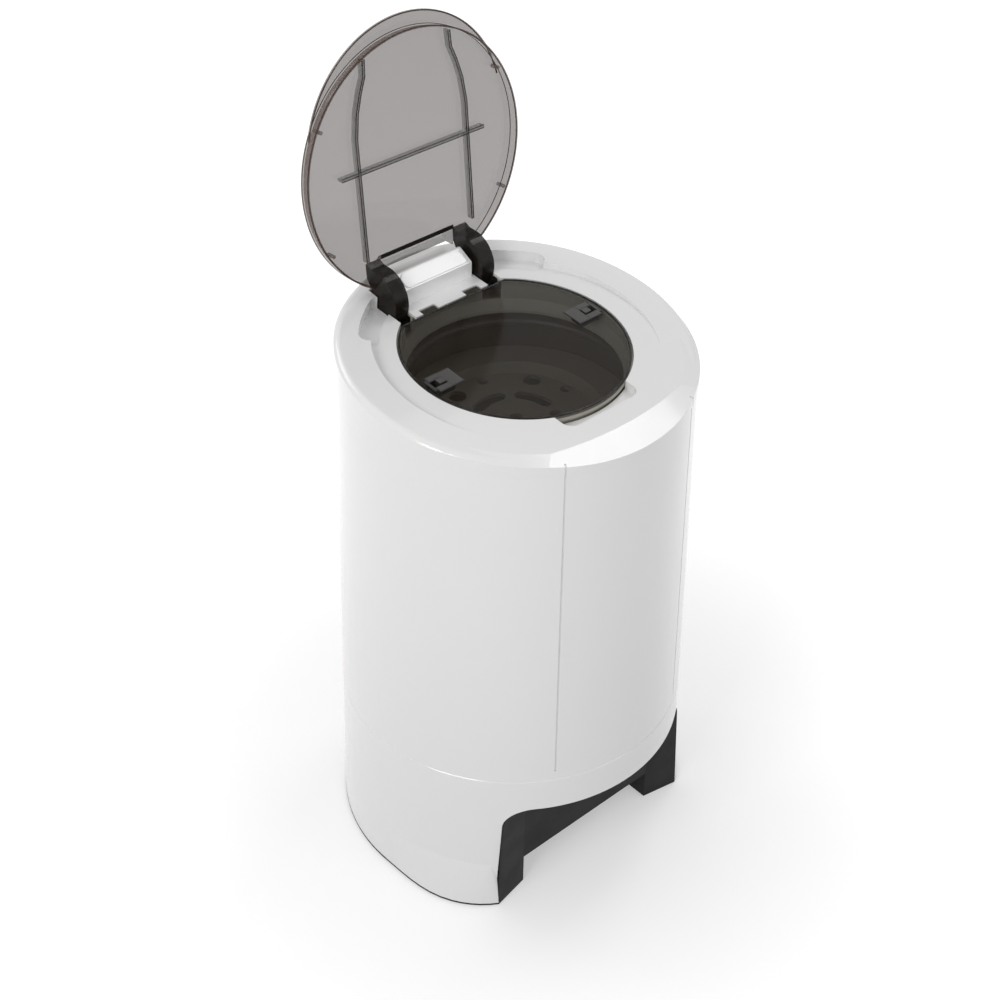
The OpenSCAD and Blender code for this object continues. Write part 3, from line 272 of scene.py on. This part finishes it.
def bead(name, path, place, radius, body, closed=False, sides=8):
    """Round bead of painted shade along a flat path of (x, y, z) points in the frame of place."""
    verts, faces = [], []
    count = len(path)
    for i, (x, y, z) in enumerate(path):
        before = path[(i - 1) % count] if closed or i else path[i]
        after = path[(i + 1) % count] if closed or i < count - 1 else path[i]
        along = Vector((after[0] - before[0], after[1] - before[1])).normalized()
        for k in range(sides):
            turn = 2 * math.pi * k / sides
            out = radius * math.cos(turn)
            verts.append(place(x + along.y * out, y - along.x * out, z + radius * math.sin(turn)))
    for i in range(count if closed else count - 1):
        j = (i + 1) % count
        for k in range(sides):
            n = (k + 1) % sides
            faces.append((i * sides + k, i * sides + n, j * sides + n, j * sides + k))
    if not closed:
        faces.append(tuple(range(sides)))
        faces.append(tuple((count - 1) * sides + k for k in range(sides)))
    piece = add_piece(name, verts, faces, EDGE_SHADE, body)
    for face in piece.data.polygons:
        face.use_smooth = True


def blocks(name, boxes, place, look, body, cut=0.25):
    """Small blocks with their top edges cut back, in one mesh. Each box is (x0, y0, z0, x1, y1, z1)."""
    verts, faces = [], []
    for x0, y0, z0, x1, y1, z1 in boxes:
        first = len(verts)
        for inset, z in ((0, z0), (0, z1 - cut), (cut, z1)):
            low_x, low_y, high_x, high_y = x0 + inset, y0 + inset, x1 - inset, y1 - inset
            for x, y in ((low_x, low_y), (high_x, low_y), (high_x, high_y), (low_x, high_y)):
                verts.append(place(x, y, z))
        faces.append(tuple(first + k for k in (3, 2, 1, 0)))
        faces += ring_faces(first, 4, 4)
        faces += ring_faces(first + 4, 4, 4)
        faces.append(tuple(first + 8 + k for k in range(4)))
    add_piece(name, verts, faces, look, body)


def inner_lid_edge_shade():
    """Painted shade along the edge of the inner lid: a round with one straight side."""
    r, half_chord, drop = 116.2, 93.4, 0.25
    half = math.asin(half_chord / r)
    path = arc(0, 0, r, -drop, math.pi - half, 2 * math.pi + half, 120)
    bead("inner_lid_edge", path, on_seat, 0.95, "inner_cover", closed=True)


def lid_edge_shade():
    """Painted shade along the rim of the outer lid: the foot and the top of its wall, and the edge of the
    finger lip.
    """
    wall_r, half_notch = 134.7, 67.4
    gap = math.asin(half_notch / wall_r)
    for name, z, radius in (("lid_wall_foot", 2.9, 0.75), ("lid_wall_top", 12.6, 0.45)):
        path = arc(0, -LID_REACH, wall_r, z, math.pi / 2 + gap, math.pi * 5 / 2 - gap, 140)
        bead(name, path, in_lid, radius, "lid")
    lid_r, lip_r, lip_out, lip_z, inset = 136, 124.8, 13.3, 13.1, 1.1
    wide = math.radians(76)
    middle = -LID_REACH - (lid_r - lip_r) - lip_out
    path = arc(0, middle, lip_r - inset, lip_z, -math.pi / 2 - wide, -math.pi / 2 + wide, 90)
    bead("lid_lip_edge", path, in_lid, 0.8, "lid")


def rib_edge_shade():
    """Painted shade outlining the ribs: along both sides of each rib and of the cross rib."""
    rib_x, half_width, foot_z = 70, 1.3, 4.5
    line = [(0, 88), (0, -42), (-3.5, -68), (-9.5, -88), (-15.5, -103), (-16.5, -120)]
    for name, side in (("left", -1), ("right", 1)):
        for word, edge in (("in", -1), ("out", 1)):
            path = [(side * (rib_x + x + edge * half_width), y - LID_REACH, foot_z) for x, y in line]
            bead(f"rib_edge_{name}_{word}", path, in_lid, 0.5, "lid")
    cross_half = 92
    for word, y in (("low", -9.5), ("high", -6.5)):
        path = [(x, y - LID_REACH, foot_z) for x in (-cross_half, 0, cross_half)]
        bead("cross_edge_" + word, path, in_lid, 0.45, "lid")


def hood_band_shade():
    """Band of painted shade along the border of the lid's panel over the hood, between the hinge arms."""
    half, low_y, high_y, low_z, high_z = 48.5, -47.4, -43.05, 11.35, 11.75
    blocks("hood_band_shade", [(-half, low_y, low_z, half, high_y, high_z)], in_lid, EDGE_SHADE, "lid", cut=0.1)


def panel_outline(half, foot, top, foot_r, top_r):
    """Outline of a panel with large rounds at the top and small ones at the foot, from the top right."""
    corners = (
        (half - top_r, top - top_r, top_r, 0),
        (-half + top_r, top - top_r, top_r, 90),
        (-half + foot_r, foot + foot_r, foot_r, 180),
        (half - foot_r, foot + foot_r, foot_r, 270),
    )
    steps = 8
    outline = []
    for cx, cy, r, start in corners:
        start = math.radians(start)
        outline += [Vector((x, y)) for x, y, _ in arc(cx, cy, r, 0, start, start + math.pi / 2, steps)]
    return outline


def block_face():
    """Raised bare panel with round ends on the sloping face of the hinge block."""
    crease = Vector((0, -17.8, 17.6))  # foot of the sloping face, from the hinge axis
    ridge = Vector((0, 0, 27.1))  # top of the sloping face
    up = (ridge - crease).normalized()
    out = Vector((0, -up.z, up.y))
    foot, top = 1.6, (ridge - crease).length - 1.2
    outline = panel_outline(41.5, foot, top, 4, 8.5)
    middle = Vector((0, (foot + top) / 2))
    verts, faces = [], []
    count = len(outline)
    levels = ((0, -0.3), (0, 0.5), (0.35, 0.85), (1.2, 1.05))  # inset and height of each loop
    for inset, height in levels:
        for point in outline:
            flat = point - (point - middle).normalized() * inset
            at = crease + up * flat.y + out * height
            verts.append(Vector((flat.x, HINGE_Y + at.y, HINGE_Z + at.z)) / 1000)
    for level in range(len(levels) - 1):
        faces += ring_faces(level * count, count, count)
    faces.append(tuple(reversed(range(count))))
    faces.append(tuple((len(levels) - 1) * count + k for k in range(count)))
    add_piece("block_panel", verts, faces, BLOCK_PAINTED_LIGHT, "cabinet")


def latch_plates():
    """Ribbed plates round the thumb pieces of the two latches, and the grip on each thumb piece."""
    foot_z, plate_z, teeth_z = 0.02, 0.9, 1.35
    inner_x, slot_x, slot_end_x, outer_x = 78, 93.2, 108.8, 112.2
    half, slot_half, tongue_half = 13, 4.8, 9
    tooth = 1.1
    plate = [
        (inner_x, -half, foot_z, slot_x, half, plate_z),
        (slot_x, -half, foot_z, slot_end_x, -slot_half, plate_z),
        (slot_x, slot_half, foot_z, slot_end_x, half, plate_z),
        (slot_end_x, -tongue_half, foot_z, outer_x, tongue_half, plate_z),
    ]
    teeth = []
    for i in range(6):
        x = 79.5 + 2.3 * i
        teeth.append((x, -11.5, plate_z, x + tooth, 11.5, teeth_z))
    for i in range(6):
        x = 94 + 2.4 * i
        teeth.append((x, -12, plate_z, x + tooth, -5.8, teeth_z))
        teeth.append((x, 5.8, plate_z, x + tooth, 12, teeth_z))
    grip = [(94.4 + 1.7 * i, -3.4, 2.0, 95.3 + 1.7 * i, 3.4, 2.35) for i in range(5)]
    for name, side, thumb in (("left", -1, "latch_l"), ("right", 1, "latch_r")):
        def place(x, y, z, side=side):
            return on_seat(side * x, y, z)
        blocks("latch_plate_" + name, plate, place, BLACK, "inner_cover")
        # The teeth and grips carry the painted highlight.
        blocks("latch_teeth_" + name, teeth, place, RIDGE_HIGHLIGHT, "inner_cover")
        blocks("latch_grip_" + name, grip, place, RIDGE_HIGHLIGHT, thumb, cut=0.15)


inner_lid_edge_shade()
lid_edge_shade()
rib_edge_shade()
hood_band_shade()
block_face()
latch_plates()


# ---------------------------------------------------------------- floor, world and lamps
def seen_by_eye(tree):
    """1 for camera, glossy and transmitted rays, 0 for the rest."""
    path = tree.nodes.new("ShaderNodeLightPath")
    total = path.outputs["Is Camera Ray"]
    for name in ("Is Glossy Ray", "Is Transmission Ray"):
        add = tree.nodes.new("ShaderNodeMath")
        add.operation = "ADD"
        add.use_clamp = True
        tree.links.new(total, add.inputs[0])
        tree.links.new(path.outputs[name], add.inputs[1])
        total = add.outputs[0]
    return total


def make_world():
    """Soft grey light for the part, and white where the eye sees past it."""
    world = bpy.data.worlds.new("studio")
    scene.world = world
    world.use_nodes = True
    tree = world.node_tree
    back = tree.nodes["Background"]
    mix = tree.nodes.new("ShaderNodeMix")
    mix.data_type = "RGBA"
    mix.inputs["A"].default_value = (0.50, 0.50, 0.505, 1)
    mix.inputs["B"].default_value = (1, 1, 1, 1)
    tree.links.new(seen_by_eye(tree), mix.inputs["Factor"])
    tree.links.new(mix.outputs["Result"], back.inputs["Color"])
    back.inputs["Strength"].default_value = 1.0


def floor_glow(tree):
    """Glow on the floor, painted weak near the foot so that the floor there stays darker, as painted shade
    round the foot that keeps the shadow, and strong further out, so that the pale floor runs out to white.
    """
    coord = tree.nodes.new("ShaderNodeTexCoord")
    reach = tree.nodes.new("ShaderNodeVectorMath")
    reach.operation = "LENGTH"
    tree.links.new(coord.outputs["Object"], reach.inputs[0])
    fade = tree.nodes.new("ShaderNodeMapRange")
    fade.interpolation_type = "SMOOTHSTEP"
    fade.inputs["From Min"].default_value = 0.2
    fade.inputs["From Max"].default_value = 0.85
    fade.inputs["To Min"].default_value = 0.38
    fade.inputs["To Max"].default_value = 0.7
    tree.links.new(reach.outputs["Value"], fade.inputs["Value"])
    scale = tree.nodes.new("ShaderNodeMath")
    scale.operation = "MULTIPLY"
    tree.links.new(seen_by_eye(tree), scale.inputs[0])
    tree.links.new(fade.outputs["Result"], scale.inputs[1])
    glow = tree.nodes.new("ShaderNodeEmission")
    tree.links.new(scale.outputs[0], glow.inputs["Strength"])
    return glow.outputs[0]


def make_floor():
    half = 6.0
    corners = [(-half, -half, 0), (half, -half, 0), (half, half, 0), (-half, half, 0)]
    mesh = bpy.data.meshes.new("floor")
    mesh.from_pydata(corners, [], [(0, 1, 2, 3)])
    floor = bpy.data.objects.new("floor", mesh)
    scene.collection.objects.link(floor)
    m, tree, shader = new_material("floor")
    tree.nodes.remove(shader)
    matt = tree.nodes.new("ShaderNodeBsdfDiffuse")
    matt.inputs["Color"].default_value = (0.68, 0.68, 0.68, 1)
    add = tree.nodes.new("ShaderNodeAddShader")
    tree.links.new(matt.outputs[0], add.inputs[0])
    tree.links.new(floor_glow(tree), add.inputs[1])
    tree.links.new(add.outputs[0], tree.nodes["Material Output"].inputs["Surface"])
    mesh.materials.append(m)


def lamp(name, place, aim_height, size, power):
    """Area lamp at place that looks at the upright axis, at aim_height."""
    data = bpy.data.lights.new(name, "AREA")
    data.shape = "RECTANGLE"
    data.size, data.size_y = size
    data.energy = power
    lamp_object = bpy.data.objects.new(name, data)
    scene.collection.objects.link(lamp_object)
    lamp_object.location = place
    lamp_object.rotation_mode = "QUATERNION"
    aim = Vector((0, 0, aim_height))
    lamp_object.rotation_quaternion = (aim - Vector(place)).to_track_quat("-Z", "Y")


make_world()
make_floor()
lamp("key", (-2.6, -0.6, 2.0), aim_height=0.4, size=(1.4, 1.4), power=33.5)
lamp("back", (-0.6, 2.4, 2.2), aim_height=0.5, size=(1.2, 1.2), power=10)
lamp("fill", (0.9, -2.7, 1.4), aim_height=0.4, size=(1.2, 1.2), power=8.5)
lamp("top", (1.45, 0.3, 2.9), aim_height=0.6, size=(0.8, 1.0), power=10.5)
